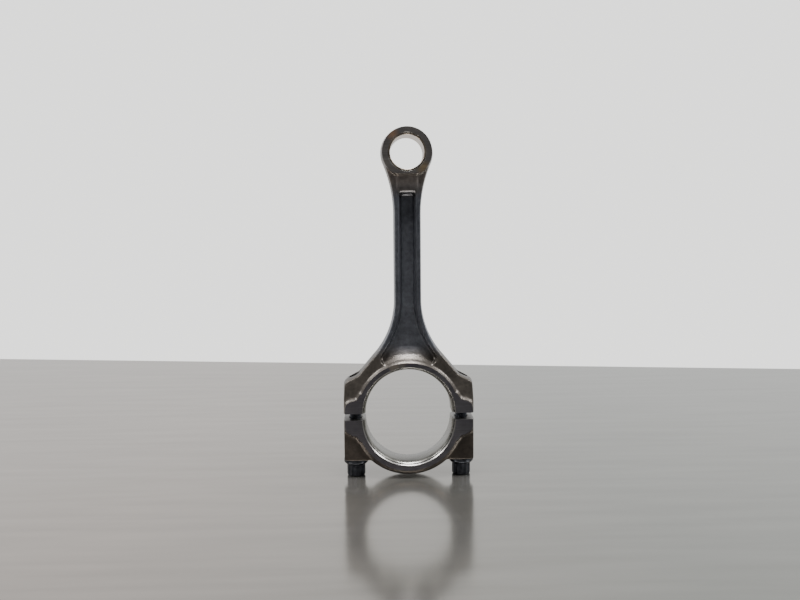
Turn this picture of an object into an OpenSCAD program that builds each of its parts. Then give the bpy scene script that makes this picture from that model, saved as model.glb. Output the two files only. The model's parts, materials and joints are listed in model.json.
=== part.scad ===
// Forged connecting rod with a bolted bearing cap, standing upright on its two bolt heads.
// Origin: centre of the crankpin bore, in the joint face of the rod half.
// +Z points to the small end, +Y runs along the crankpin and the wrist pin, +X is to the right.

/* [Overall] */
// Distance between the crankpin centre and the wrist pin centre
centre_distance = 155; // [145:1:170]
// Width across the ground side faces of both ends
face_width = 22; // [21:0.5:24]
// Width of the forging beside the ground faces of the big end
forging_width = 19.2; // [18.6:0.2:20]
// Height of the open joint between the rod and the cap
cap_gap = 4; // [0.5:0.5:8]

/* [Small end] */
// Diameter of the wrist pin
pin_d = 20; // [18:0.5:21]
// Wall of the pressed-in bronze bush
bush_wall = 1.2; // [1:0.1:1.3]
// Outside diameter of the eye at its widest line
eye_d = 31.4; // [30:0.2:34]

/* [Big end] */
// Diameter of the crankpin
crankpin_d = 52; // [50:0.5:52.5]
// Wall of each bearing shell
shell_wall = 1.5; // [1.3:0.1:1.6]
// Width of the bearing shells along the crankpin
shell_width = 18; // [15:0.5:19]
// Width across the two bolt lugs
lug_span = 78.8; // [78:0.2:82]
// Height of the cap lugs from the joint to the bolt seats
lug_height = 25.4; // [24:0.2:27]
// Radial width of the ground ring on the rod half
rod_ring = 3; // [2.6:0.1:3.4]
// Radial width of the ground ring on the cap
cap_ring = 4.5; // [4:0.1:5]

/* [Beam] */
// Width of the beam over its two flanges
beam_width = 15.8; // [15:0.2:17]
// Width of each flange at its face
flange_width = 2.3; // [2:0.1:2.6]
// Depth of the flanges, from the front of the rod to the back
beam_depth = 17.6; // [17:0.2:18.4]
// Thickness of the web between the flanges
web_thickness = 6; // [5:0.5:8]
// Radius of the flare from the beam into the big end
flare_radius = 50; // [46:1:54]

/* [Bolts] */
// Distance between the two bolt axes
bolt_span = 64.5; // [64:0.1:65]
// Major diameter of the bolt thread
thread_d = 8; // [7:0.5:8]
// Pitch of the bolt thread, which also sets the length of the bolt's pointed end
thread_pitch = 1; // [0.75:0.25:1.25]
// Diameter of the plain shank
shank_d = 7.2; // [6:0.1:7.2]
// Length of the bolt under its head
bolt_length = 45; // [42:1:48]
// Length of the threaded end
thread_length = 15.5; // [12:0.5:16]
// Diameter of the bolt flange
flange_d = 14.8; // [13.6:0.2:15]
// Height of the bolt flange
flange_h = 3.8; // [3:0.2:4.6]
// Width of the twelve-point head over its points
head_d = 11.2; // [10:0.2:12]
// Height of the whole bolt head
head_h = 10.8; // [9:0.2:12]

/* [Hidden] */
$fn = 96;
over = 1;
half_face = face_width / 2;
half_forging = forging_width / 2;
half_beam_depth = beam_depth / 2;
half_web = web_thickness / 2;
draft = 1 / 11;
blend = 0.05;
blend_run = 6;
eye_r = eye_d / 2;
beam_half = beam_width / 2;
lug_half = lug_span / 2;
bush_r = pin_d / 2 + bush_wall;
running_clearance = 0.02;
chamfer = 0.4;
housing_r = crankpin_d / 2 + shell_wall + running_clearance;
shell_r = crankpin_d / 2 + running_clearance;
rod_ring_r = housing_r + rod_ring;
cap_ring_r = housing_r + cap_ring;
cap_arch_r = cap_ring_r + 2.2;
cap_z = -cap_gap;
bolt_x = bolt_span / 2;
tapped_r = thread_d / 2 + 0.03;
clearance_r = thread_d / 2 + 0.1;
neck_drop = 36;
neck_z = centre_distance - neck_drop;
neck_radius = (neck_drop * neck_drop + beam_half * beam_half - eye_r * eye_r) / (2 * (eye_r - beam_half));
flare_z = 68;
flare_end_angle = 43;
flare_end_x = beam_half + flare_radius * (1 - cos(flare_end_angle));
flare_end_z = flare_z - flare_radius * sin(flare_end_angle);
deep_z = 33;
shoulder_z = 16.7;
shoulder_r = 4;
shoulder_angle = 27;
face_end_z = centre_distance - 12.2;
slope_end_z = face_end_z - 4;
pad_half = 6;
pad_end_z = face_end_z - 8.4;
pad_top = half_beam_depth + 0.9;
pocket_half = beam_half - draft * half_beam_depth - flange_width;
pocket_top_z = pad_end_z - 1;
pocket_ring_r = rod_ring_r + 3.6;
tang_y = 4.6;
tang_width = 4;
tang_height = 3.5;
tang_depth = 0.9;

// Cylinder about the Y axis.
module y_cylinder(r, width) {
    rotate([90, 0, 0])
        cylinder(h = width, r = r, center = true);
}

// Two cones about the Y axis that meet at mid width.
module y_double_cone(r_mid, r_side, width) {
    for (side = [0, 1])
        mirror([0, side, 0])
            rotate([90, 0, 0])
                cylinder(h = width / 2, r1 = r_mid, r2 = r_side);
}

// Flat outline drawn in X and Z, carried to both sides of mid width.
module y_plate(width) {
    rotate([90, 0, 0])
        linear_extrude(height = width, center = true)
            children();
}

// Bore about the Y axis with a chamfer at each ground face.
module chamfered_bore(r) {
    y_cylinder(r, face_width + 2 * over);
    for (side = [0, 1])
        mirror([0, side, 0])
            translate([0, -half_face - over, 0])
                rotate([-90, 0, 0])
                    cylinder(h = over + chamfer, r1 = r + chamfer + over, r2 = r);
}

// Upright column with drafted sides that bounds the bolt lugs.
module lug_column(low, high) {
    side_half = lug_half - draft * half_face;
    translate([0, 0, low])
        linear_extrude(height = high - low)
            polygon([[lug_half, 0], [side_half, half_face], [-side_half, half_face],
                     [-lug_half, 0], [-side_half, -half_face], [side_half, -half_face]]);
}

// Depth of the forging along its height: slim at the beam, deeper at the big end.
module forging_envelope() {
    translate([-lug_span, 0, 0])
        rotate([90, 0, 90])
            linear_extrude(height = 2 * lug_span)
                polygon([[-half_forging, 0], [half_forging, 0], [half_forging, deep_z],
                         [half_beam_depth, flare_z - 6], [half_beam_depth, centre_distance],
                         [-half_beam_depth, centre_distance], [-half_beam_depth, flare_z - 6],
                         [-half_forging, deep_z]]);
}

// Straight part of the beam with drafted flanks.
module beam_bar() {
    bar_half = beam_half + blend;
    side_half = bar_half - draft * half_forging;
    translate([0, 0, flare_z - blend_run])
        linear_extrude(height = neck_z - flare_z + 2 * blend_run)
            polygon([[bar_half, 0], [side_half, half_forging], [-side_half, half_forging],
                     [-bar_half, 0], [-side_half, -half_forging], [side_half, -half_forging]]);
}

// Concave blend on both flanks, tangent to the beam at height z.
module flank_cuts(z, r) {
    for (side = [0, 1])
        mirror([side, 0, 0])
            translate([beam_half + r, 0, z])
                y_double_cone(r, r + draft * half_face, face_width);
}

// Neck between the eye and the beam.
module neck() {
    difference() {
        y_plate(forging_width)
            polygon([[-eye_r, neck_z], [eye_r, neck_z], [eye_r * 0.91, centre_distance - eye_r * 0.41],
                     [-eye_r * 0.91, centre_distance - eye_r * 0.41]]);
        flank_cuts(neck_z, neck_radius);
    }
}

// Flare from the beam down to the shoulders.
module flare() {
    difference() {
        y_plate(forging_width)
            polygon([[-flare_end_x, flare_end_z - over], [flare_end_x, flare_end_z - over],
                     [flare_end_x, flare_z], [-flare_end_x, flare_z]]);
        flank_cuts(flare_z, flare_radius);
    }
}

// One half of the shoulder outline above the joint.
module shoulder_outline() {
    corner_x = lug_half - 0.2 - shoulder_r;
    tangent_x = corner_x + shoulder_r * sin(shoulder_angle);
    tangent_z = shoulder_z + shoulder_r * cos(shoulder_angle);
    root_x = tangent_x - 6.7;
    root_z = tangent_z + 6.7 * tan(shoulder_angle);
    polygon([[0, 0], [lug_half, 0], [lug_half - 0.2, shoulder_z], [corner_x, shoulder_z],
             [tangent_x, tangent_z], [root_x, root_z], [flare_end_x, flare_end_z], [0, flare_end_z]]);
    translate([corner_x, shoulder_z])
        circle(r = shoulder_r);
}

// Forged mass of the big end above the joint.
module shoulders() {
    intersection() {
        y_plate(forging_width) {
            shoulder_outline();
            mirror([1, 0])
                shoulder_outline();
        }
        lug_column(0, flare_z);
    }
}

// Ground side faces of the big end, standing out from the forging.
module ground_faces(ring_r, band_height, band_half) {
    step = half_face - half_forging;
    y_double_cone(ring_r + draft * half_face, ring_r, face_width);
    y_plate(face_width)
        polygon([[-band_half, 0], [band_half, 0], [band_half, band_height - 4],
                 [band_half - 2.4, band_height - step / 2], [0, band_height],
                 [-band_half + 2.4, band_height - step / 2], [-band_half, band_height - 4]]);
}

// Eye of the small end with its ground faces and the sloping root below them.
module eye() {
    intersection() {
        translate([0, 0, centre_distance])
            y_double_cone(eye_r, eye_r - draft * half_face, face_width);
        translate([-eye_d, 0, 0])
            rotate([90, 0, 90])
                linear_extrude(height = 2 * eye_d)
                    polygon([[-half_face, centre_distance + eye_d], [-half_face, face_end_z],
                             [-half_beam_depth, slope_end_z], [-half_beam_depth, slope_end_z - eye_d],
                             [half_beam_depth, slope_end_z - eye_d], [half_beam_depth, slope_end_z],
                             [half_face, face_end_z], [half_face, centre_distance + eye_d]]);
    }
}

// Raised pad under the eye on both sides, ending in a slope down to the web.
module neck_pads() {
    intersection() {
        y_plate(face_width)
            polygon([[-pad_half, neck_z], [pad_half, neck_z], [pad_half, face_end_z + 2],
                     [-pad_half, face_end_z + 2]]);
        translate([-pad_half, 0, 0])
            rotate([90, 0, 90])
                linear_extrude(height = 2 * pad_half)
                    polygon([[-half_face, face_end_z + 2], [-half_face, face_end_z],
                             [-pad_top, face_end_z - 1.4], [-pad_top, pad_end_z + 1],
                             [-half_web, pocket_top_z - 3], [half_web, pocket_top_z - 3],
                             [pad_top, pad_end_z + 1], [pad_top, face_end_z - 1.4],
                             [half_face, face_end_z], [half_face, face_end_z + 2]]);
    }
}

// Pocket on one side of the web, with drafted walls.
module web_pocket() {
    depth = half_beam_depth - half_web;
    floor_half = pocket_half - 1;
    groove_half = pocket_half + blend;
    difference() {
        union() {
            translate([0, 0, flare_z - blend_run])
                linear_extrude(height = pocket_top_z - flare_z + blend_run)
                    polygon([[-floor_half - blend, -half_web], [floor_half + blend, -half_web],
                             [groove_half, -half_beam_depth], [groove_half, -half_face],
                             [-groove_half, -half_face], [-groove_half, -half_beam_depth]]);
            difference() {
                translate([-flare_end_x, -half_face, rod_ring_r])
                    cube([2 * flare_end_x, half_face - half_web, flare_z - rod_ring_r]);
                for (side = [0, 1])
                    mirror([side, 0, 0])
                        translate([beam_half + flare_radius, -half_web, flare_z])
                            rotate([90, 0, 0])
                                cylinder(h = half_face - half_web,
                                         r1 = beam_half + flare_radius - floor_half,
                                         r2 = beam_half + flare_radius - floor_half
                                              - (half_face - half_web) / depth);
            }
        }
        translate([0, -half_web, 0])
            rotate([90, 0, 0])
                cylinder(h = half_face - half_web, r1 = pocket_ring_r + 2.4, r2 = pocket_ring_r - 0.8);
    }
}

// Tapped holes and their lead-in chamfers in the rod half.
module rod_bolt_holes() {
    for (side = [-1, 1])
        translate([side * bolt_x, 0, 0]) {
            translate([0, 0, -over])
                cylinder(h = flare_z, r = tapped_r);
            translate([0, 0, -over])
                cylinder(h = over + 0.5, r1 = tapped_r + 0.5 + over - 0.3, r2 = tapped_r);
        }
}

// Notch for the tang of a bearing shell, cut from the joint face.
module tang_notch(up) {
    mirror([0, 0, up ? 0 : 1])
        translate([-housing_r - tang_depth - 0.1, tang_y - 0.2, -over])
            cube([tang_depth + 2, tang_width + 0.4, tang_height + 0.3 + over]);
}

module rod_forging() {
    color([0.23, 0.22, 0.22])
        difference() {
            union() {
                eye();
                neck_pads();
                difference() {
                    intersection() {
                        union() {
                            neck();
                            beam_bar();
                            flare();
                            shoulders();
                        }
                        forging_envelope();
                    }
                    web_pocket();
                    mirror([0, 1, 0])
                        web_pocket();
                }
                intersection() {
                    ground_faces(rod_ring_r, 8, lug_half - 1.3);
                    lug_column(0, flare_z);
                }
            }
            chamfered_bore(housing_r);
            translate([0, 0, centre_distance])
                chamfered_bore(bush_r);
            rod_bolt_holes();
            tang_notch(true);
        }
}

module bearing_cap() {
    color([0.2, 0.18, 0.17])
        translate([0, 0, cap_z])
            difference() {
                union() {
                    intersection() {
                        y_plate(forging_width)
                            polygon([[-lug_half, -lug_height], [lug_half, -lug_height],
                                     [lug_half, 0], [-lug_half, 0]]);
                        lug_column(-lug_height, 0);
                    }
                    intersection() {
                        y_double_cone(cap_arch_r, cap_arch_r - draft * half_forging, forging_width);
                        translate([0, 0, -lug_half])
                            cube([lug_span, forging_width, lug_span], center = true);
                    }
                    intersection() {
                        mirror([0, 0, 1])
                            ground_faces(cap_ring_r, 10, lug_half - 1.3);
                        lug_column(-lug_span, 0);
                    }
                }
                chamfered_bore(housing_r);
                for (side = [-1, 1])
                    translate([side * bolt_x, 0, -lug_height - over])
                        cylinder(h = lug_height + 2 * over, r = clearance_r);
                tang_notch(false);
            }
}

module small_end_bush() {
    color([0.62, 0.5, 0.36])
        translate([0, 0, centre_distance])
            difference() {
                y_cylinder(bush_r, face_width);
                chamfered_bore(pin_d / 2 + running_clearance);
            }
}

// Half shell of the crankpin bearing, above the joint, with its locating tang.
module bearing_shell() {
    half_shell = shell_width / 2;
    difference() {
        union() {
            rotate([90, 0, 0])
                rotate_extrude()
                    polygon([[shell_r, half_shell - chamfer], [shell_r + chamfer, half_shell],
                             [housing_r, half_shell], [housing_r, -half_shell],
                             [shell_r + chamfer, -half_shell], [shell_r, chamfer - half_shell]]);
            translate([-housing_r - tang_depth, tang_y, 0])
                cube([tang_depth + shell_wall / 2, tang_width, tang_height]);
        }
        translate([0, 0, -housing_r])
            cube([4 * housing_r, face_width, 2 * housing_r], center = true);
    }
}

module upper_bearing_shell() {
    color([0.6, 0.6, 0.57])
        bearing_shell();
}

module lower_bearing_shell() {
    color([0.6, 0.6, 0.57])
        translate([0, 0, cap_z])
            mirror([0, 0, 1])
                bearing_shell();
}

// Flanged bolt with a twelve-point head, standing on its head with the thread upwards.
module cap_bolt() {
    flat_r = head_d / 2;
    cone_h = flange_h / 2;
    difference() {
        union() {
            intersection() {
                for (turn = [0, 30])
                    rotate([0, 0, turn])
                        translate([0, 0, -head_h])
                            cylinder(h = head_h, r = flat_r, $fn = 6);
                union() {
                    translate([0, 0, -head_h])
                        cylinder(h = 0.8, r1 = flat_r - 0.9, r2 = flat_r + 0.1);
                    translate([0, 0, 0.8 - head_h])
                        cylinder(h = head_h, r = flat_r + 0.1);
                }
            }
            translate([0, 0, cone_h - flange_h])
                cylinder(h = flange_h - cone_h, r = flange_d / 2);
            translate([0, 0, -flange_h])
                cylinder(h = cone_h, r1 = flat_r + 0.1, r2 = flange_d / 2);
            cylinder(h = bolt_length - thread_length, r = shank_d / 2);
            translate([0, 0, bolt_length - thread_length - 0.4])
                cylinder(h = 0.4, r1 = shank_d / 2, r2 = thread_d / 2);
            translate([0, 0, bolt_length - thread_length])
                cylinder(h = thread_length - thread_pitch, r = thread_d / 2);
            translate([0, 0, bolt_length - thread_pitch])
                cylinder(h = thread_pitch, r1 = thread_d / 2, r2 = thread_d / 2 - thread_pitch);
        }
        translate([0, 0, -head_h - 0.01])
            cylinder(h = 0.8, r1 = flat_r - 2.2, r2 = flat_r - 3.2);
    }
}

module left_bolt() {
    color([0.08, 0.08, 0.09])
        translate([-bolt_x, 0, cap_z - lug_height])
            cap_bolt();
}

module right_bolt() {
    color([0.08, 0.08, 0.09])
        translate([bolt_x, 0, cap_z - lug_height])
            cap_bolt();
}

rod_forging();
bearing_cap();
small_end_bush();
upper_bearing_shell();
lower_bearing_shell();
left_bolt();
right_bolt();
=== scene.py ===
from math import atan2, cos, hypot, pi, radians, sin, sqrt, tan
import json
import bmesh
import bpy
from mathutils import Matrix, Vector


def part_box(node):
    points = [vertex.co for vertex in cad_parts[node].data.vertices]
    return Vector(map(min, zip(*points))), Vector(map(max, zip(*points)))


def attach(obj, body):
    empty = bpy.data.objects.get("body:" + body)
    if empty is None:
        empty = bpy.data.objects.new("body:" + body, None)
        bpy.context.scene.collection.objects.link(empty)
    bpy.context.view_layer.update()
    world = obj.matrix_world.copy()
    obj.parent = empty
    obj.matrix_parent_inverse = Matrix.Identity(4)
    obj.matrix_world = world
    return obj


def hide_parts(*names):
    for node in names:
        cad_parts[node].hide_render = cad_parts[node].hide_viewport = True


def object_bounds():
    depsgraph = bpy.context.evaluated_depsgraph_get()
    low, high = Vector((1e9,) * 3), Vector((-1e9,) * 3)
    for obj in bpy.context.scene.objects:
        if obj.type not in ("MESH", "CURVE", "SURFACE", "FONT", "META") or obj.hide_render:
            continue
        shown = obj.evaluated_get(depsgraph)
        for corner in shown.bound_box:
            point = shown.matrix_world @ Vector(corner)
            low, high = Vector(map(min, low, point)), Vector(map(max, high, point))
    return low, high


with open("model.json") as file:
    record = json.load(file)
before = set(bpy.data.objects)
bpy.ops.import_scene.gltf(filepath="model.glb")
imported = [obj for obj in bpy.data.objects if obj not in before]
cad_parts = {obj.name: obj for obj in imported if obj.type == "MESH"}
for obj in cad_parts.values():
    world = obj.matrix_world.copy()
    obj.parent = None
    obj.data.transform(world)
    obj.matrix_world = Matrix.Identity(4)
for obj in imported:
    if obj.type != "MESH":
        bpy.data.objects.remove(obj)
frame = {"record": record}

# ---------------------------------------------------------------- sizes, in millimetres
MM = 0.001
cad_low, cad_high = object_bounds()
mount = {m["name"]: m for m in frame["record"]["mounts"]}


def box_mm(node):
    """Lowest and highest corner of a CAD node, in millimetres."""
    low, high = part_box(node)
    return low / MM, high / MM


rod_high = box_mm("rod_forging")[1]
cap_high = box_mm("bearing_cap")[1]
shell_high = box_mm("upper_bearing_shell")[1]
bush_high = box_mm("small_end_bush")[1]
bolt_low, bolt_high = box_mm("right_bolt")

half_face = rod_high.y
lug_half = rod_high.x
pin_z = mount["wrist_pin_bore"]["pos_m"][2] / MM
pin_r = mount["wrist_pin_bore"]["dims"]["r_mm"]
bush_r = bush_high.x
eye_r = rod_high.z - pin_z
crank_r = mount["crankpin_bearing"]["dims"]["r_mm"]
shell_half = shell_high.y
housing_r = shell_high.x
cap_z = cap_high.z
bolt_x = (bolt_low.x + bolt_high.x) / 2
flange_r = (bolt_high.x - bolt_low.x) / 2

half_forging = 9.2
half_beam = 8.8
half_web = 3.0
draft = 1 / 11
beam_half = 8.32
flange = 2.6
neck_drop = 36
neck_z = pin_z - neck_drop
neck_radius = (neck_drop ** 2 + beam_half ** 2 - eye_r ** 2) / (2 * (eye_r - beam_half))
flare_z = 68
flare_radius = 50
flare_turn = radians(43)
shoulder_z = 16.7
shoulder_r = 4
shoulder_turn = radians(27)
shoulder_run = 6.7
lug_height = 25.4
seat_z = cap_z - lug_height
rod_ring_r = housing_r + 3
cap_ring_r = housing_r + 4.5
cap_arch_r = cap_ring_r + 2.2
joint_gap = 0.01
blank_half = 12.0
tang_y = 6.6
weld_gap = 0.001


# ---------------------------------------------------------------- bench work
def put_down():
    """Leave edit mode with nothing selected."""
    if bpy.context.mode != "OBJECT":
        bpy.ops.object.mode_set(mode="OBJECT")
    bpy.ops.object.select_all(action="DESELECT")


def pick_up(piece, *others):
    """Select a piece, and any others with it."""
    put_down()
    for one in (piece, *others):
        one.select_set(True)
    bpy.context.view_layer.objects.active = piece


def open_mesh(piece, kind="FACE"):
    """Edit a piece with nothing selected."""
    pick_up(piece)
    bpy.ops.object.mode_set(mode="EDIT")
    bpy.ops.mesh.select_mode(type=kind)
    bpy.ops.mesh.select_all(action="DESELECT")


def mark(piece, kind, test):
    """Select the vertices, edges or faces of a piece in edit mode that pass a test."""
    mesh = bmesh.from_edit_mesh(piece.data)
    for one in {"VERT": mesh.verts, "EDGE": mesh.edges, "FACE": mesh.faces}[kind]:
        if test(one):
            one.select_set(True)
    bmesh.update_edit_mesh(piece.data)


def finish_mesh(piece, merge=0.0):
    """Merge doubles, turn every face outwards and go back to object mode."""
    bpy.ops.mesh.select_all(action="SELECT")
    if merge:
        bpy.ops.mesh.remove_doubles(threshold=merge * MM)
    bpy.ops.mesh.normals_make_consistent(inside=False)
    put_down()
    return piece


def draw(name, corners, plane="XZ", level=0.0, closed=True):
    """Draw an outline corner by corner in a plane, and fill it when it is closed."""
    def at(p):
        places = {"XZ": (p[0], level, p[1]), "YZ": (level, p[0], p[1]), "XY": (p[0], p[1], level)}
        return Vector(places[plane]) * MM
    put_down()
    bpy.ops.mesh.primitive_plane_add(size=2 * MM)
    piece = bpy.context.object
    piece.name = name
    piece.data.name = name
    bpy.ops.object.mode_set(mode="EDIT")
    bpy.ops.mesh.select_mode(type="VERT")
    bpy.ops.mesh.select_all(action="SELECT")
    bpy.ops.mesh.merge(type="CENTER")
    bpy.ops.transform.translate(value=at(corners[0]))
    for here, there in zip(corners, corners[1:]):
        bpy.ops.mesh.extrude_vertices_move(TRANSFORM_OT_translate={"value": at(there) - at(here)})
    bpy.ops.mesh.select_all(action="SELECT")
    if closed:
        bpy.ops.mesh.edge_face_add()
    return piece


def slab(name, corners, depth, plane="XZ"):
    """Flat outline in the plane XZ or YZ, carried to both sides of it."""
    piece = draw(name, corners, plane, -depth)
    along = (0, 2 * depth * MM, 0) if plane == "XZ" else (2 * depth * MM, 0, 0)
    bpy.ops.mesh.extrude_region_move(TRANSFORM_OT_translate={"value": along})
    return finish_mesh(piece)


def drafted_slab(name, corners, depth, slope, land=0.1):
    """Flat outline in X and Z carried to both sides of mid width, its walls leaning in by the slope."""
    piece = slab(name, corners, land)
    open_mesh(piece)
    mark(piece, "FACE", lambda f: abs(f.normal.y) > 0.9)
    bpy.ops.mesh.inset(thickness=(depth - land) * slope * MM, depth=(depth - land) * MM)
    return finish_mesh(piece)


def plug(name, corners, side, outer, inner, slope):
    """Tapered plug that goes in from one side: its outline is the opening at the outer depth."""
    piece = draw(name, corners, "XZ", side * outer)
    bpy.ops.mesh.extrude_region_move(TRANSFORM_OT_translate={"value": (0, side * MM, 0)})
    finish_mesh(piece)
    open_mesh(piece)
    mark(piece, "FACE", lambda f: f.normal.y * side < -0.9)
    bpy.ops.mesh.inset(thickness=(outer - inner) * slope * MM, depth=(outer - inner) * MM)
    return finish_mesh(piece)


def arc(cx, cz, r, start, stop, steps):
    """Points on an arc, angles in radians from +X towards +Z."""
    turns = [start + (stop - start) * i / steps for i in range(steps + 1)]
    return [(cx + r * cos(turn), cz + r * sin(turn)) for turn in turns]


def both_sides(right):
    """Closed outline from its right half, drawn from the bottom up."""
    return right + [(-x, z) for x, z in reversed(right) if x > 1e-6]


def spun(piece, steps, axis, shift, angle=2 * pi):
    """Spin the outline that is being edited about an axis through the origin, then shift the solid."""
    bpy.ops.mesh.spin(steps=steps, angle=angle, center=(0, 0, 0), axis=axis)
    bpy.ops.mesh.select_all(action="SELECT")
    bpy.ops.transform.translate(value=[step * MM for step in shift])
    return finish_mesh(piece, weld_gap)


def drum(name, radii, centre_z, steps=192):
    """Solid of revolution about the Y axis: radii is a list of (y, radius), drawn from front to back."""
    piece = draw(name, [(0.0, radii[0][0])] + [(r, y) for y, r in radii] + [(0.0, radii[-1][0])],
                 "XY", 0.0, closed=False)
    return spun(piece, steps, (0, 1, 0), (0, 0, centre_z))


def post(name, radii, x):
    """Solid of revolution about an upright axis: radii is a list of (z, radius), from the bottom up."""
    piece = draw(name, [(0.0, radii[0][0])] + [(r, z) for z, r in radii] + [(0.0, radii[-1][0])],
                 "XZ", 0.0, closed=False)
    return spun(piece, 96, (0, 0, 1), (x, 0, 0))


def use(piece, kind, **settings):
    """Put a modifier on a piece and apply it."""
    pick_up(piece)
    tool = piece.modifiers.new(kind.title(), kind)
    for name, value in settings.items():
        setattr(tool, name, value)
    bpy.ops.object.modifier_apply(modifier=tool.name)


def cut(piece, cutter, operation="DIFFERENCE"):
    """Boolean with another solid, which is used up."""
    use(piece, "BOOLEAN", object=cutter, operation=operation, solver="MANIFOLD")
    bpy.data.objects.remove(cutter)


def weld(name, solids):
    """Several solids joined into one mesh."""
    pick_up(*solids)
    bpy.ops.object.join()
    piece = bpy.context.object
    piece.name = name
    piece.data.name = name
    return piece


def forge(piece, grain, rounds):
    """One even skin over overlapping solids, with the soft fillets that a forging die leaves."""
    use(piece, "REMESH", mode="VOXEL", voxel_size=grain * MM, adaptivity=0.0, use_smooth_shade=True)
    use(piece, "SMOOTH", factor=0.5, iterations=rounds)


def bore_tool(name, r, edge, centre_z):
    """Boring bar about the Y axis that also cuts a chamfer at each ground face."""
    far = half_face + 1
    return drum(name, [(-far, r + edge + 1), (-half_face, r + edge), (-half_face + edge, r),
                       (half_face - edge, r), (half_face, r + edge), (far, r + edge + 1)], centre_z)


# ---------------------------------------------------------------- rod forging
flare_x = beam_half + flare_radius
neck_x = beam_half + neck_radius
corner_x = lug_half - 0.2 - shoulder_r
slope_x = corner_x + shoulder_r * sin(shoulder_turn)
slope_z = shoulder_z + shoulder_r * cos(shoulder_turn)
root_x = slope_x - shoulder_run
root_z = slope_z + shoulder_run * tan(shoulder_turn)

right_half = (
    [(0, -2), (lug_half + 0.5, -2), (lug_half + 0.4, 8)]
    + arc(corner_x, shoulder_z, shoulder_r, 0, pi / 2 - shoulder_turn, 6)
    + [(root_x, root_z)]
    + arc(flare_x, flare_z, flare_radius, pi + flare_turn, pi, 18)
    + arc(neck_x, neck_z, neck_radius, pi, pi - atan2(neck_drop, neck_x), 10)
    + [(eye_r - 1.5, pin_z + 4), (0, pin_z + 4)]
)
rod = drafted_slab("forged_rod", both_sides(right_half), blank_half, draft)
envelope = [(-half_forging, -4), (half_forging, -4), (half_forging, 33), (half_beam, 62), (half_beam, 168),
            (-half_beam, 168), (-half_beam, 62), (-half_forging, 33)]
cut(rod, slab("envelope", envelope, 60, "YZ"), "INTERSECT")

# pockets on both sides of the web; the corner at the foot touches the ring's arc and the wall's arc
pocket_slope = 1 / 5.0
gain = (blank_half - half_beam) * pocket_slope
pocket_half = beam_half - draft * half_beam - flange + gain
pocket_arc = flare_x - pocket_half
corner = 4.4
foot_r = rod_ring_r + 1.2 - gain
span = hypot(flare_x, flare_z)
near = (span ** 2 + (foot_r + corner) ** 2 - (pocket_arc + corner) ** 2) / (2 * span)
off = sqrt((foot_r + corner) ** 2 - near ** 2)
foot_x = (flare_x * near - flare_z * off) / span
foot_z = (flare_z * near + flare_x * off) / span
ring_turn = atan2(foot_z, foot_x)
wall_turn = atan2(flare_z - foot_z, flare_x - foot_x)
pocket_right = (
    arc(0, 0, foot_r, pi / 2, ring_turn, 8)
    + arc(foot_x, foot_z, corner, ring_turn - pi, wall_turn, 8)[1:]
    + arc(flare_x, flare_z, pocket_arc, pi + wall_turn, pi, 14)[1:]
    + [(pocket_half, pin_z - 17), (0, pin_z - 17)]
)
for side in (-1, 1):
    cut(rod, plug("pocket", both_sides(pocket_right), side, blank_half, half_web, pocket_slope))

# eye, its sloping roots and the pads below it
root_z0 = pin_z - bush_r - 1.1
eye = drum("eye", [(-half_face - 1, eye_r - draft * (half_face + 1)), (0, eye_r),
                   (half_face + 1, eye_r - draft * (half_face + 1))], pin_z, 128)
root_cut = [(-half_face - 2, pin_z + 20), (-half_face - 2, root_z0 + 2.4), (-half_face, root_z0),
            (-half_beam, root_z0 - 4.4), (-half_beam, pin_z - 30), (half_beam, pin_z - 30),
            (half_beam, root_z0 - 4.4), (half_face, root_z0), (half_face + 2, root_z0 + 2.4),
            (half_face + 2, pin_z + 20)]
cut(eye, slab("root_cut", root_cut, 20, "YZ"), "INTERSECT")
pad_end_r = 3.9
pad_side = ([(half_web - 1.2, pin_z - 25.4), (half_web + 0.3, pin_z - 24.5), (half_web + 1.6, pin_z - 24.1)]
            + [(6.0 + pad_end_r * cos(turn), pin_z - 20.2 - pad_end_r * sin(turn))
               for turn in (1.4, 1.15, 0.9, 0.6, 0.3, 0.0)]
            + [(10.0, root_z0 - 1.8), (half_face, root_z0 + 0.3), (half_face, root_z0 + 3)])
pads = slab("pads", pad_side + [(-y, z) for y, z in reversed(pad_side)], 5.6, "YZ")
open_mesh(pads)
mark(pads, "FACE", lambda f: abs(f.normal.x) > 0.9)
bpy.ops.mesh.inset(thickness=1.2 * MM, depth=0.8 * MM)
finish_mesh(pads)

# raised bosses that are ground to the side faces, their walls as pairs of the depth and of how far the
# wall stands out from the ground edge
boss_out = half_face + 1.2
flared_wall = [(7.4, 4.8), (8.6, 3.4), (9.1, 2.2), (9.6, 1.3), (10.2, 0.6), (half_face, 0.0),
               (boss_out, -0.6)]


def ring_drum(name, r, wall, centre_z):
    """Ring boss about the crankpin with the same wall on both sides."""
    side = [(y, r + out) for y, out in wall]
    return drum(name, [(-y, radius) for y, radius in reversed(side)] + side, centre_z, 160)


def raised_band(name, corners):
    """Band beside the joint with flared walls on both sides; its corners are those of the wall's foot."""
    piece = slab(name, corners, flared_wall[0][0])
    open_mesh(piece)
    mark(piece, "FACE", lambda f: abs(f.normal.y) > 0.9)
    for (low, wide), (high, narrow) in zip(flared_wall, flared_wall[1:]):
        bpy.ops.mesh.inset(thickness=(wide - narrow) * MM, depth=(high - low) * MM)
    return finish_mesh(piece)


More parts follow.
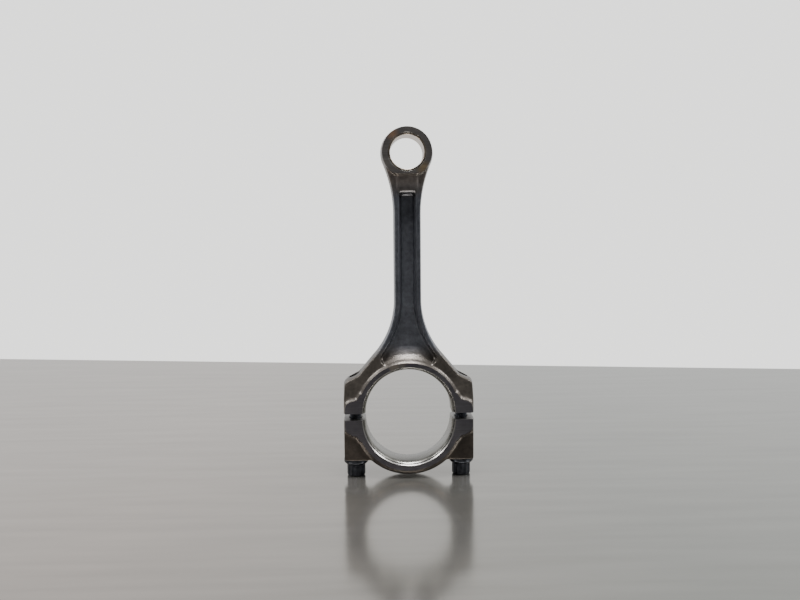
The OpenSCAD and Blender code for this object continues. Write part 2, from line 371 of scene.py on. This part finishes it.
def band_corners(edge, joint, sign):
    """Foot outline of a band whose ground edge runs through the given right-hand points."""
    foot = flared_wall[0][1]
    ways = [Vector((z1 - z0, x0 - x1)).normalized() for (x0, z0), (x1, z1) in zip(edge, edge[1:])]
    mitres = [(a + b) / (1 + a.dot(b)) for a, b in zip(ways, ways[1:])]
    out = [Vector((0, 1))] + mitres + [Vector((0, 1))]
    right = [(0, -12), (lug_half + 14, -12)]
    right += [(x + m.x * foot, z + m.y * foot) for (x, z), m in zip(edge, out)]
    return [(x, joint + sign * z) for x, z in both_sides(right)]


# the ramp from the web up to the ring of the rod
web_ramp = [(0, 9.9), (half_web, 9.6), (4.0, 7.4), (5.6, 4.6), (7.0, 2.7), (8.4, 1.7), (9.7, 1.1),
            (10.4, 0.6), (half_face, 0.0), (boss_out, -0.9)]
ramp = ring_drum("web_ramp", rod_ring_r, web_ramp, 0)
cut(ramp, slab("ramp_sides", [(-17, 20), (17, 20), (17, 50), (-17, 50)], 20), "INTERSECT")
ring_boss = ring_drum("ring_boss", rod_ring_r, [(0, 4.0), (6.2, 4.0), (8.4, 1.9), (9.7, 1.2), (10.4, 0.6),
                                                (half_face, 0.0), (boss_out, -0.9)], 0)
rod_edge = [(lug_half + 8, 3.0), (38.4, 3.6), (37.4, 5.6), (36.0, 6.9), (34.2, 7.6), (31.2, 8.2),
            (28.8, 12.0), (0, 12.6)]
rod_band = raised_band("rod_band", band_corners(rod_edge, 0, 1))
cut(rod_band, drafted_slab("lug_sides", [(-lug_half, -3), (lug_half, -3), (lug_half - 0.2, 30),
                                         (-lug_half + 0.2, 30)], 20, draft), "INTERSECT")
rod = weld("forged_rod", [rod, eye, pads, ramp, ring_boss, rod_band])
forge(rod, 0.52, 9)

# machining: side faces, joint face, bores, bolt holes, shell notch
cut(rod, slab("side_grinding", [(-60, joint_gap), (60, joint_gap), (60, 190), (-60, 190)], half_face),
    "INTERSECT")
for side in (-1, 1):
    cut(rod, slab("side_trim", [(side * (lug_half - 0.25), -5), (side * (lug_half + 5), -5),
                                (side * (lug_half + 5), 30), (side * (lug_half - 0.35), 30)], 15))
cut(rod, bore_tool("big_bore", housing_r, 0.55, 0))
cut(rod, bore_tool("eye_bore", bush_r, 0.08, pin_z))
for side in (-1, 1):
    cut(rod, post("tapped_hole", [(-1, 5.1), (0, 4.6), (0.6, 4.03), (66, 4.03)], side * bolt_x))


def at_tang(piece):
    """Move a tang or its seat from mid width to its place."""
    open_mesh(piece)
    bpy.ops.mesh.select_all(action="SELECT")
    bpy.ops.transform.translate(value=(0, tang_y * MM, 0))
    return finish_mesh(piece)


def notch(name, sign, joint):
    """Milled seat for the tang of a bearing shell."""
    piece = slab(name, [(-housing_r - 1.0, joint - sign), (-housing_r + 1.4, joint - sign),
                        (-housing_r + 1.4, joint + sign * 3.8), (-housing_r - 1.0, joint + sign * 3.8)], 2.2)
    return at_tang(piece)


cut(rod, notch("notch", 1, 0))

# ---------------------------------------------------------------- bearing cap
cap_half = lug_half + 0.4
block = drafted_slab("forged_cap", [(-cap_half, cap_z + 2), (cap_half, cap_z + 2), (cap_half, seat_z - 0.4),
                                    (-cap_half, seat_z - 0.4)], blank_half, draft)
arch_rim = cap_arch_r - draft * blank_half
arch = drum("arch", [(-blank_half, arch_rim), (0, cap_arch_r), (blank_half, arch_rim)], cap_z, 160)
cut(arch, slab("arch_sides", [(-lug_half, -60), (lug_half, -60), (lug_half, 4), (-lug_half, 4)], 30),
    "INTERSECT")
cap = weld("forged_cap", [block, arch])
use(cap, "REMESH", mode="VOXEL", voxel_size=0.6 * MM, adaptivity=0.0)
cut(cap, slab("cap_sides", [(-60, cap_z + 3), (60, cap_z + 3), (60, -60), (-60, -60)], half_forging),
    "INTERSECT")
cap_boss = ring_drum("cap_boss", cap_ring_r - 0.9, [(8.2, 3.0), (9.3, 2.1), (10.0, 1.2), (half_face, 0.0),
                                                    (boss_out, -1.2)], cap_z)
cap_edge = [(lug_half + 8, 4.2), (38.6, 4.6), (37.6, 6.4), (36.0, 7.9), (34.0, 9.0), (31.2, 9.7),
            (29.4, 12.6), (0, 13.2)]
cap_band = raised_band("cap_band", band_corners(cap_edge, cap_z, -1))
cut(cap_band, drafted_slab("lug_sides", [(-lug_half, 2), (lug_half, 2), (lug_half, -40), (-lug_half, -40)],
                           20, draft), "INTERSECT")
cap = weld("forged_cap", [cap, cap_boss, cap_band])
forge(cap, 0.5, 6)
cut(cap, slab("cap_grinding", [(-60, cap_z - joint_gap), (60, cap_z - joint_gap),
                               (60, -60), (-60, -60)], half_face), "INTERSECT")
cut(cap, bore_tool("cap_bore", housing_r, 0.55, cap_z))
for side in (-1, 1):
    cut(cap, slab("side_trim", [(side * (lug_half - 0.25), 0), (side * (lug_half + 5), 0),
                                (side * (lug_half + 5), -40), (side * (lug_half - 0.3), -40)], 15))
    cut(cap, slab("seat_milling", [(side * 24, seat_z), (side * 45, seat_z),
                                   (side * 45, -60), (side * 24, -60)], 15))
    cut(cap, post("bolt_hole", [(-60, 4.6), (seat_z, 4.6), (seat_z + 0.5, 4.1),
                                (cap_z - 0.5, 4.1), (cap_z, 4.6), (cap_z + 1, 5.2)], side * bolt_x))
cut(cap, notch("cap_notch", -1, cap_z))

# ---------------------------------------------------------------- bush and bearing shells
bush_edge = 0.2
bush = draw("bronze_bush", [(pin_r, -half_face + bush_edge), (pin_r + bush_edge, -half_face + 0.02),
                            (bush_r - 0.08, -half_face + 0.02), (bush_r, -half_face + 0.1),
                            (bush_r, half_face - 0.1), (bush_r - 0.08, half_face - 0.02),
                            (pin_r + bush_edge, half_face - 0.02), (pin_r, half_face - bush_edge),
                            (pin_r, -half_face + bush_edge)], "XY", 0.0, closed=False)
spun(bush, 192, (0, 1, 0), (0, 0, pin_z))


def half_shell(name, sign, joint):
    """Half bearing shell with chamfered edges, on the rod side of the joint or the cap side."""
    edge = [(crank_r, shell_half - 2.4), (crank_r + 0.2, shell_half - 1.5),
            (crank_r + 0.55, shell_half - 0.7), (crank_r + 1.15, shell_half),
            (housing_r - 0.25, shell_half), (housing_r, shell_half - 0.25)]
    section = [(r, -y) for r, y in edge] + edge[::-1]
    piece = draw(name, section, "XY", 0.0)
    joint += sign * joint_gap
    spun(piece, 96, (0, 1, 0), (0, 0, joint), sign * pi)
    tang = slab("tang", [(-housing_r - 0.9, joint), (-housing_r + 0.7, joint),
                         (-housing_r + 0.7, joint + sign * 3.5), (-housing_r - 0.5, joint + sign * 3.5),
                         (-housing_r - 0.9, joint + sign * 3.0)], 2.0)
    cut(piece, at_tang(tang), "UNION")
    return piece


upper_shell = half_shell("upper_shell", 1, 0)
lower_shell = half_shell("lower_shell", -1, cap_z)


# ---------------------------------------------------------------- bolts
thread_pitch = 1.0
thread_turns = 17
crest_r, core_r = 3.98, 3.36
shank_r = 3.6
point_r = 5.6
head_height = 9.0


def make_bolt(name):
    """Flanged bolt with a twelve-point head and a rolled right-hand thread, its axis at x = 0."""
    foot, top = bolt_low.z, bolt_high.z
    corners = []
    for i in range(24):
        r = point_r if i % 2 == 0 else point_r * cos(radians(30)) / cos(radians(15))
        corners.append((r * cos(radians(15 * i)), r * sin(radians(15 * i))))
    head = draw(name, corners, "XY", foot)
    bpy.ops.mesh.extrude_region_move(TRANSFORM_OT_translate={"value": (0, 0, head_height * MM)})
    finish_mesh(head)
    use(head, "BEVEL", width=0.22 * MM, segments=3, limit_method="ANGLE", angle_limit=radians(25))
    cut(head, post("head_turning", [(foot - 0.5, 3.6), (foot, 4.5), (foot + 0.35, 5.1), (foot + 0.95, 5.62),
                                    (foot + 12, 5.7)], 0), "INTERSECT")
    cut(head, post("dimple", [(foot - 1, 3.5), (foot, 3.3), (foot + 0.5, 2.9), (foot + 0.85, 2.1)], 0))
    shank = post("shank", [(seat_z - 3.9, 5.3), (seat_z - 3.75, 5.75), (seat_z - 2.5, 7.05),
                           (seat_z - 2.2, flange_r - 0.12), (seat_z - 1.95, flange_r),
                           (seat_z - 0.3, flange_r), (seat_z, flange_r - 0.25), (seat_z, 4.3),
                           (seat_z + 0.35, 3.75), (seat_z + 0.8, shank_r), (-0.35, shank_r),
                           (0.3, core_r - 0.04), (1.0, core_r - 0.2)], 0)
    cut(head, shank, "UNION")
    start = top + 0.5 - thread_turns * thread_pitch
    thread = draw("thread", [(core_r, start), (core_r + 0.02, start + 0.14), (crest_r, start + 0.5),
                             (crest_r, start + 0.63), (core_r, start + thread_pitch)],
                  "XZ", 0.0, closed=False)
    put_down()
    use(thread, "SCREW", axis="Z", angle=2 * pi, screw_offset=thread_pitch * MM, iterations=thread_turns,
        steps=36, render_steps=36, use_merge_vertices=True, merge_threshold=0.002 * MM)
    open_mesh(thread)
    finish_mesh(thread, 0.002)
    # both ends are cut flat and closed, at heights where no vertex of the thread lies
    for level, above in ((0.237, False), (top - 0.013, True)):
        open_mesh(thread, "EDGE")
        bpy.ops.mesh.select_all(action="SELECT")
        bpy.ops.mesh.bisect(plane_co=(0, 0, level * MM), plane_no=(0, 0, 1), clear_inner=not above,
                            clear_outer=above, threshold=1e-7)
        bpy.ops.mesh.select_all(action="DESELECT")
        mark(thread, "EDGE",
             lambda e: e.is_boundary and all(abs(v.co.z / MM - level) < 0.001 for v in e.verts))
        bpy.ops.mesh.edge_face_add()
        finish_mesh(thread)
    cut(thread, post("point", [(-1, 3.3), (0.0, 3.3), (0.75, 4.1), (top - 1.0, 4.1), (top + 0.1, 3.0)], 0),
        "INTERSECT")
    cut(head, thread, "UNION")
    return head


def copy_of(piece, name, shift):
    """A second piece with its own mesh, moved along X in its mesh."""
    pick_up(piece)
    bpy.ops.object.duplicate(linked=False)
    twin = bpy.context.object
    twin.name = name
    twin.data.name = name
    open_mesh(twin)
    bpy.ops.mesh.select_all(action="SELECT")
    bpy.ops.transform.translate(value=(shift * MM, 0, 0))
    put_down()
    return twin


bolt = make_bolt("plain_bolt")
left_bolt = copy_of(bolt, "left_cap_bolt", -bolt_x)
right_bolt = copy_of(bolt, "right_cap_bolt", bolt_x)
bpy.data.objects.remove(bolt)


# ---------------------------------------------------------------- finishes
def linear(code):
    """An sRGB hex colour as the linear colour that shaders take."""
    parts = [int(code[i:i + 2], 16) / 255 for i in (1, 3, 5)]
    return tuple(c / 12.92 if c <= 0.04045 else ((c + 0.055) / 1.055) ** 2.4 for c in parts) + (1.0,)


def add(tree, kind, inputs=None, stops=None, **settings):
    """Add one node with its settings, its input values or links, and any colour stops."""
    node = tree.nodes.new(kind)
    for name, value in settings.items():
        setattr(node, name, value)
    for name, value in (inputs or {}).items():
        socket = node.inputs[name]
        if isinstance(value, bpy.types.NodeSocket):
            tree.links.new(value, socket)
        else:
            socket.default_value = value
    for i, (place, colour) in enumerate(stops or ()):
        ramp = node.color_ramp.elements
        stop = ramp[i] if i < 2 else ramp.new(place)
        stop.position, stop.color = place, colour
    return node


def new_material(name, metallic, roughness):
    """A material with a shader, and the piece's own coordinates in metres."""
    material = bpy.data.materials.new(name)
    material.use_nodes = True
    tree = material.node_tree
    shader = tree.nodes["Principled BSDF"]
    shader.inputs["Metallic"].default_value = metallic
    shader.inputs["Roughness"].default_value = roughness
    place = add(tree, "ShaderNodeTexCoord").outputs["Object"]
    return material, tree, shader, place


def grey(v):
    """A neutral linear colour."""
    return (v, v, v, 1.0)


def fade(tree, value, start, stop, first=0.0, last=1.0):
    """First where the value is at the start, last where it is at the stop, and even in between."""
    return add(tree, "ShaderNodeMapRange", {"Value": value, "From Min": start, "From Max": stop,
                                            "To Min": first, "To Max": last}).outputs["Result"]


def spot(tree, place, centre, reach, edge):
    """1 within reach of a place on the piece, falling to 0 over the edge; all in millimetres."""
    away = add(tree, "ShaderNodeVectorMath", {0: place, 1: tuple(c * MM for c in centre)},
               operation="DISTANCE")
    return fade(tree, away.outputs["Value"], reach * MM, (reach + edge) * MM, 1.0, 0.0)


def blend(tree, factor, first, second, kind="MIX"):
    """Colour mix of two sockets or colours."""
    mix = add(tree, "ShaderNodeMix", {0: factor, 6: first, 7: second}, data_type="RGBA", blend_type=kind)
    return mix.outputs[2]


# Shot-peened forged steel, oiled: nearly black and cool on the beam, brown at the big end, with an
# orange-peel skin and a brighter stripe at mid width, where the flash was trimmed.
forged, tree, shader, place = new_material("peened_forging", 0.7, 0.36)
split = add(tree, "ShaderNodeSeparateXYZ", {"Vector": place})
height = fade(tree, split.outputs["Z"], 0.041, 0.033)
head = fade(tree, split.outputs["Z"], 0.128, 0.138)
stain = add(tree, "ShaderNodeTexNoise", {"Vector": place, "Scale": 55.0, "Detail": 5.0, "Roughness": 0.6})
mottle = add(tree, "ShaderNodeTexNoise", {"Vector": place, "Scale": 420.0, "Detail": 3.0, "Roughness": 0.6})
cool = add(tree, "ShaderNodeValToRGB", {"Fac": stain.outputs["Fac"]},
           [(0.35, linear("#3f4147")), (0.65, linear("#515359"))])
warm = add(tree, "ShaderNodeValToRGB", {"Fac": stain.outputs["Fac"]},
           [(0.35, linear("#423e3a")), (0.65, linear("#57524d"))])
pad_tone = blend(tree, head, cool.outputs["Color"], linear("#5e5854"))
tone = blend(tree, height, pad_tone, warm.outputs["Color"])
speck = fade(tree, mottle.outputs["Fac"], 0.3, 0.7, 0.75, 1.2)
below = fade(tree, split.outputs["Z"], -0.002, -0.012)
darker = blend(tree, below, tone, blend(tree, 1.0, tone, linear("#d2ccc8"), "MULTIPLY"))
peened = blend(tree, 1.0, darker, speck, "MULTIPLY")
# Painted light: above the big end, the web within 5.5 mm of mid width is painted up to 1.55 times lighter, to
# make up for the shade in the pockets between the flanges.
middle = add(tree, "ShaderNodeMath", {0: split.outputs["Y"]}, operation="ABSOLUTE")
inside = fade(tree, middle.outputs["Value"], 0.0085, 0.0055, 1.0, 1.55)
pocket_painted_light = blend(tree, 1.0, peened, inside, "MULTIPLY")
skin = blend(tree, height, pocket_painted_light, peened)
flash = fade(tree, middle.outputs["Value"], 0.0010, 0.0015, 0.75, 0.0)
tree.links.new(blend(tree, flash, skin, linear("#85827e")), shader.inputs["Base Color"])
wear = fade(tree, stain.outputs["Fac"], 0.3, 0.7, 0.27, 0.42)
tree.links.new(wear, shader.inputs["Roughness"])
# peening dents are about 0.4 mm across on the real skin; here 1 mm, so that they show
peen = add(tree, "ShaderNodeTexVoronoi", {"Vector": place, "Scale": 1000.0}, feature="SMOOTH_F1")
dents = add(tree, "ShaderNodeBump", {"Height": peen.outputs["Distance"], "Strength": 0.3, "Distance": 0.0002})
tree.links.new(dents.outputs["Normal"], shader.inputs["Normal"])

# Surface-ground steel: flat, dark with oil, with fine grinding lines along X, and bronze-brown oil stains
# on the eye. The ring has one worn patch.
ground, tree, shader, place = new_material("ground_side_face", 1.0, 0.3)
split = add(tree, "ShaderNodeSeparateXYZ", {"Vector": place})
eye_end = fade(tree, split.outputs["Z"], 0.09, 0.12)
# grinding lines are about 0.1 mm apart on the real face; here about 0.7 mm, so that they show
lay = add(tree, "ShaderNodeMapping", {"Vector": place, "Scale": (50.0, 50.0, 1500.0)})
lines = add(tree, "ShaderNodeTexNoise", {"Vector": lay.outputs["Vector"], "Scale": 1.0, "Detail": 4.0})
patch = add(tree, "ShaderNodeTexNoise", {"Vector": place, "Scale": 90.0, "Detail": 3.0})
ring = add(tree, "ShaderNodeValToRGB", {"Fac": patch.outputs["Fac"]},
           [(0.35, linear("#605e64")), (0.7, linear("#727075"))])
eye_face = add(tree, "ShaderNodeValToRGB", {"Fac": patch.outputs["Fac"]},
               [(0.35, linear("#7a7675")), (0.7, linear("#918c88"))])
face = blend(tree, eye_end, ring.outputs["Color"], eye_face.outputs["Color"])
for centre, reach, edge, colour in (((-8.6, -11, pin_z + 10.4), 0.8, 3.8, "#b3937c"),
                                    ((9.6, -11, pin_z - 9.4), 1.0, 4.2, "#a59378"),
                                    ((-8.6, -11, 29.0), 2.6, 1.4, "#8f8880"),
                                    ((-4.2, -11, 30.0), 1.6, 1.6, "#7e7a76")):
    face = blend(tree, spot(tree, place, centre, reach, edge), face, linear(colour))
streak = fade(tree, lines.outputs["Fac"], 0.3, 0.7, 0.85, 1.1)
tree.links.new(blend(tree, 1.0, face, streak, "MULTIPLY"), shader.inputs["Base Color"])
scratch = add(tree, "ShaderNodeBump", {"Height": lines.outputs["Fac"], "Strength": 0.15, "Distance": 0.0001})
tree.links.new(scratch.outputs["Normal"], shader.inputs["Normal"])


def lined(name, dark, light, roughness, scale, cloud_scale=120.0):
    """Bare or coated metal with fine marks, long along the axes of small scale, and a faint unevenness."""
    material, tree, shader, place = new_material(name, 1.0, roughness)
    lay = add(tree, "ShaderNodeMapping", {"Vector": place, "Scale": scale})
    marks = add(tree, "ShaderNodeTexNoise", {"Vector": lay.outputs["Vector"], "Scale": 1.0, "Detail": 3.0})
    cloud = add(tree, "ShaderNodeTexNoise", {"Vector": place, "Scale": cloud_scale, "Detail": 4.0})
    tint = add(tree, "ShaderNodeValToRGB", {"Fac": cloud.outputs["Fac"]},
               [(0.35, linear(dark)), (0.65, linear(light))])
    shade = fade(tree, marks.outputs["Fac"], 0.3, 0.7, 0.86, 1.06)
    tree.links.new(blend(tree, 1.0, tint.outputs["Color"], shade, "MULTIPLY"),
                   shader.inputs["Base Color"])
    rough = fade(tree, cloud.outputs["Fac"], 0.3, 0.7, roughness - 0.05, roughness + 0.07)
    tree.links.new(rough, shader.inputs["Roughness"])
    return material


# Bored and honed steel: brighter than the forging, with tool marks round the bore about 0.7 mm apart
# (0.1 mm on the real part, coarsened so that they show).
bored = lined("bored_steel", "#7b7977", "#8e8c89", 0.3, (30.0, 1400.0, 30.0))

# Milled joint face: marks across the rod.
joint_face = lined("milled_joint_face", "#7f7e7c", "#959391", 0.33, (1200.0, 40.0, 40.0))

# Bronze bush, reamed smooth; it shines warm inside the eye.
bronze = lined("reamed_bronze", "#a8937c", "#c0ab94", 0.22, (40.0, 1400.0, 40.0))

# Ends of the bush, faced off with the rod and stained as dark as the steel round them.
bronze_end = lined("faced_bronze_end", "#6f675f", "#837a70", 0.32, (50.0, 50.0, 1500.0))

# Aluminium-tin bearing lining: pale, soft shine, faint marks round the bore.
lining = lined("bearing_lining", "#7f7e7a", "#93928d", 0.27, (30.0, 1100.0, 30.0))

# Black oxide on the bolts: near black with a low sheen, slightly uneven.
oxide = lined("black_oxide", "#303236", "#42444a", 0.36, (300.0, 300.0, 300.0), 400.0)


def coat(piece, materials, choose):
    """Give a piece its materials, each face the one that choose() names by number."""
    piece.data.materials.clear()
    for material in materials:
        piece.data.materials.append(material)
    for face in piece.data.polygons:
        face.material_index = choose(face.center / MM, face.normal)
    pick_up(piece)
    bpy.ops.object.shade_smooth_by_angle(angle=radians(32))


FORGED, GROUND, BORED, MILLED = range(4)


def machined(joint, sign):
    """Which finish each face of a forging has, by its centre and its normal."""
    def choose(c, n):
        if abs(c.y) > half_face - 0.01 and abs(n.y) > 0.99:
            return GROUND
        if abs(c.z - joint) < 0.02 and abs(n.z) > 0.99:
            return MILLED
        if hypot(c.x, c.z - joint) < housing_r + 0.6 and sign * (c.z - joint) > -0.1:
            return BORED
        if hypot(c.x, c.z - pin_z) < bush_r + 0.3:
            return BORED
        if abs(abs(c.x) - bolt_x) < 5.2 and hypot(abs(c.x) - bolt_x, c.y) < 4.65 and abs(n.z) < 0.9:
            return BORED
        if sign < 0 and abs(c.z - seat_z) < 0.02 and n.z < -0.99:
            return MILLED
        return FORGED
    return choose


coat(rod, [forged, ground, bored, joint_face], machined(0, 1))
coat(cap, [forged, ground, bored, joint_face], machined(cap_z, -1))
coat(bush, [bronze, bronze_end], lambda c, n: 1 if abs(n.y) > 0.5 else 0)
coat(upper_shell, [lining], lambda c, n: 0)
coat(lower_shell, [lining], lambda c, n: 0)
for one in (left_bolt, right_bolt):
    coat(one, [oxide], lambda c, n: 0)

for piece, node, body, slot in ((rod, "rod_forging", "rod", "rod_steel"),
                                (cap, "bearing_cap", "cap", "cap_steel"),
                                (bush, "small_end_bush", "rod", "bush_bronze"),
                                (upper_shell, "upper_bearing_shell", "rod", "shell_metal"),
                                (lower_shell, "lower_bearing_shell", "cap", "shell_metal"),
                                (left_bolt, "left_bolt", "left_bolt", "bolt_steel"),
                                (right_bolt, "right_bolt", "right_bolt", "bolt_steel")):
    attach(piece, body)
    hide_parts(node)

# ---------------------------------------------------------------- floor, light and camera
put_down()
bpy.ops.mesh.primitive_plane_add(size=1.0, location=(0, 0, cad_low.z))
floor = bpy.context.object
floor.name = "table"
bpy.ops.object.mode_set(mode="EDIT")
bpy.ops.mesh.select_all(action="SELECT")
bpy.ops.transform.resize(value=(1.7, 0.79, 1))
bpy.ops.transform.rotate(value=radians(8.5), orient_axis="Z", center_override=(0, 0, 0))
put_down()
bpy.ops.object.transform_apply(location=True)
# Satin steel bench top: pale, with long faint brushing along X and a blurred reflection.
table, tree, shader, place = new_material("satin_table", 0.9, 0.16)
lay = add(tree, "ShaderNodeMapping", {"Vector": place, "Scale": (9.0, 90.0, 1.0)})
brush = add(tree, "ShaderNodeTexNoise", {"Vector": lay.outputs["Vector"], "Scale": 1.0, "Detail": 5.0})
across = add(tree, "ShaderNodeSeparateXYZ", {"Vector": place})
side_on = fade(tree, across.outputs["X"], -0.15, 0.12)
bench_tone = blend(tree, side_on, linear("#b6afa8"), linear("#9fa09b"))
sheen = fade(tree, brush.outputs["Fac"], 0.3, 0.7, 0.93, 1.05)
tree.links.new(blend(tree, 1.0, bench_tone, sheen, "MULTIPLY"), shader.inputs["Base Color"])
floor.data.materials.append(table)

world = bpy.data.worlds.new("studio")
bpy.context.scene.world = world
world.use_nodes = True
sky = world.node_tree
seen = add(sky, "ShaderNodeLightPath")
direction = add(sky, "ShaderNodeSeparateXYZ", {"Vector": add(sky, "ShaderNodeTexCoord").outputs["Generated"]})
behind = fade(sky, direction.outputs["Y"], -0.5, 0.5)
above = fade(sky, direction.outputs["Z"], 0.2, 0.7)
room = blend(sky, behind, grey(0.16), grey(1.0))
vault = blend(sky, above, room, grey(0.45))
# only the camera sees the pale backdrop; the light and the reflections come from the room
backdrop = blend(sky, seen.outputs["Is Camera Ray"], vault, (1.85, 1.85, 1.82, 1.0))
sky.links.new(backdrop, sky.nodes["Background"].inputs["Color"])


def panel(name, place, aim, size, power, colour="#ffffff"):
    """Soft rectangular light that points at a spot."""
    put_down()
    bpy.ops.object.light_add(type="AREA", location=place)
    lamp = bpy.context.object
    lamp.name = name
    lamp.data.shape = "RECTANGLE"
    lamp.data.size, lamp.data.size_y = size
    lamp.data.energy = power
    lamp.data.color = linear(colour)[:3]
    lamp.rotation_euler = (Vector(aim) - Vector(place)).to_track_quat("-Z", "Y").to_euler()
    return lamp


panel("ceiling", (0.02, -0.14, 0.9), (0, 0, 0.05), (0.4, 0.34), 19)
panel("upper_left", (-0.75, -0.3, 0.7), (0, 0, 0.05), (0.3, 0.24), 8)
panel("upper_right", (0.8, -0.25, 0.65), (0, 0, 0.05), (0.34, 0.3), 9)

put_down()
bpy.ops.object.camera_add(location=(-0.0173, -0.4898, 0.1124))
camera = bpy.context.object
# yaw to the right of +Y, pitch down, and a slight roll
yaw, pitch, roll = radians(1.49), radians(5.25), radians(-0.48)
ahead = Vector((sin(yaw) * cos(pitch), cos(yaw) * cos(pitch), -sin(pitch)))
side = Vector((cos(yaw), -sin(yaw), 0))
over = side.cross(ahead)
right = side * cos(roll) + over * sin(roll)
up = -side * sin(roll) + over * cos(roll)
camera.matrix_world = Matrix.Translation(camera.location) @ Matrix((right, up, -ahead)).transposed().to_4x4()
camera.data.lens = 36.6
camera.data.sensor_width = 36
camera.data.clip_start = 0.01
bpy.context.scene.camera = camera
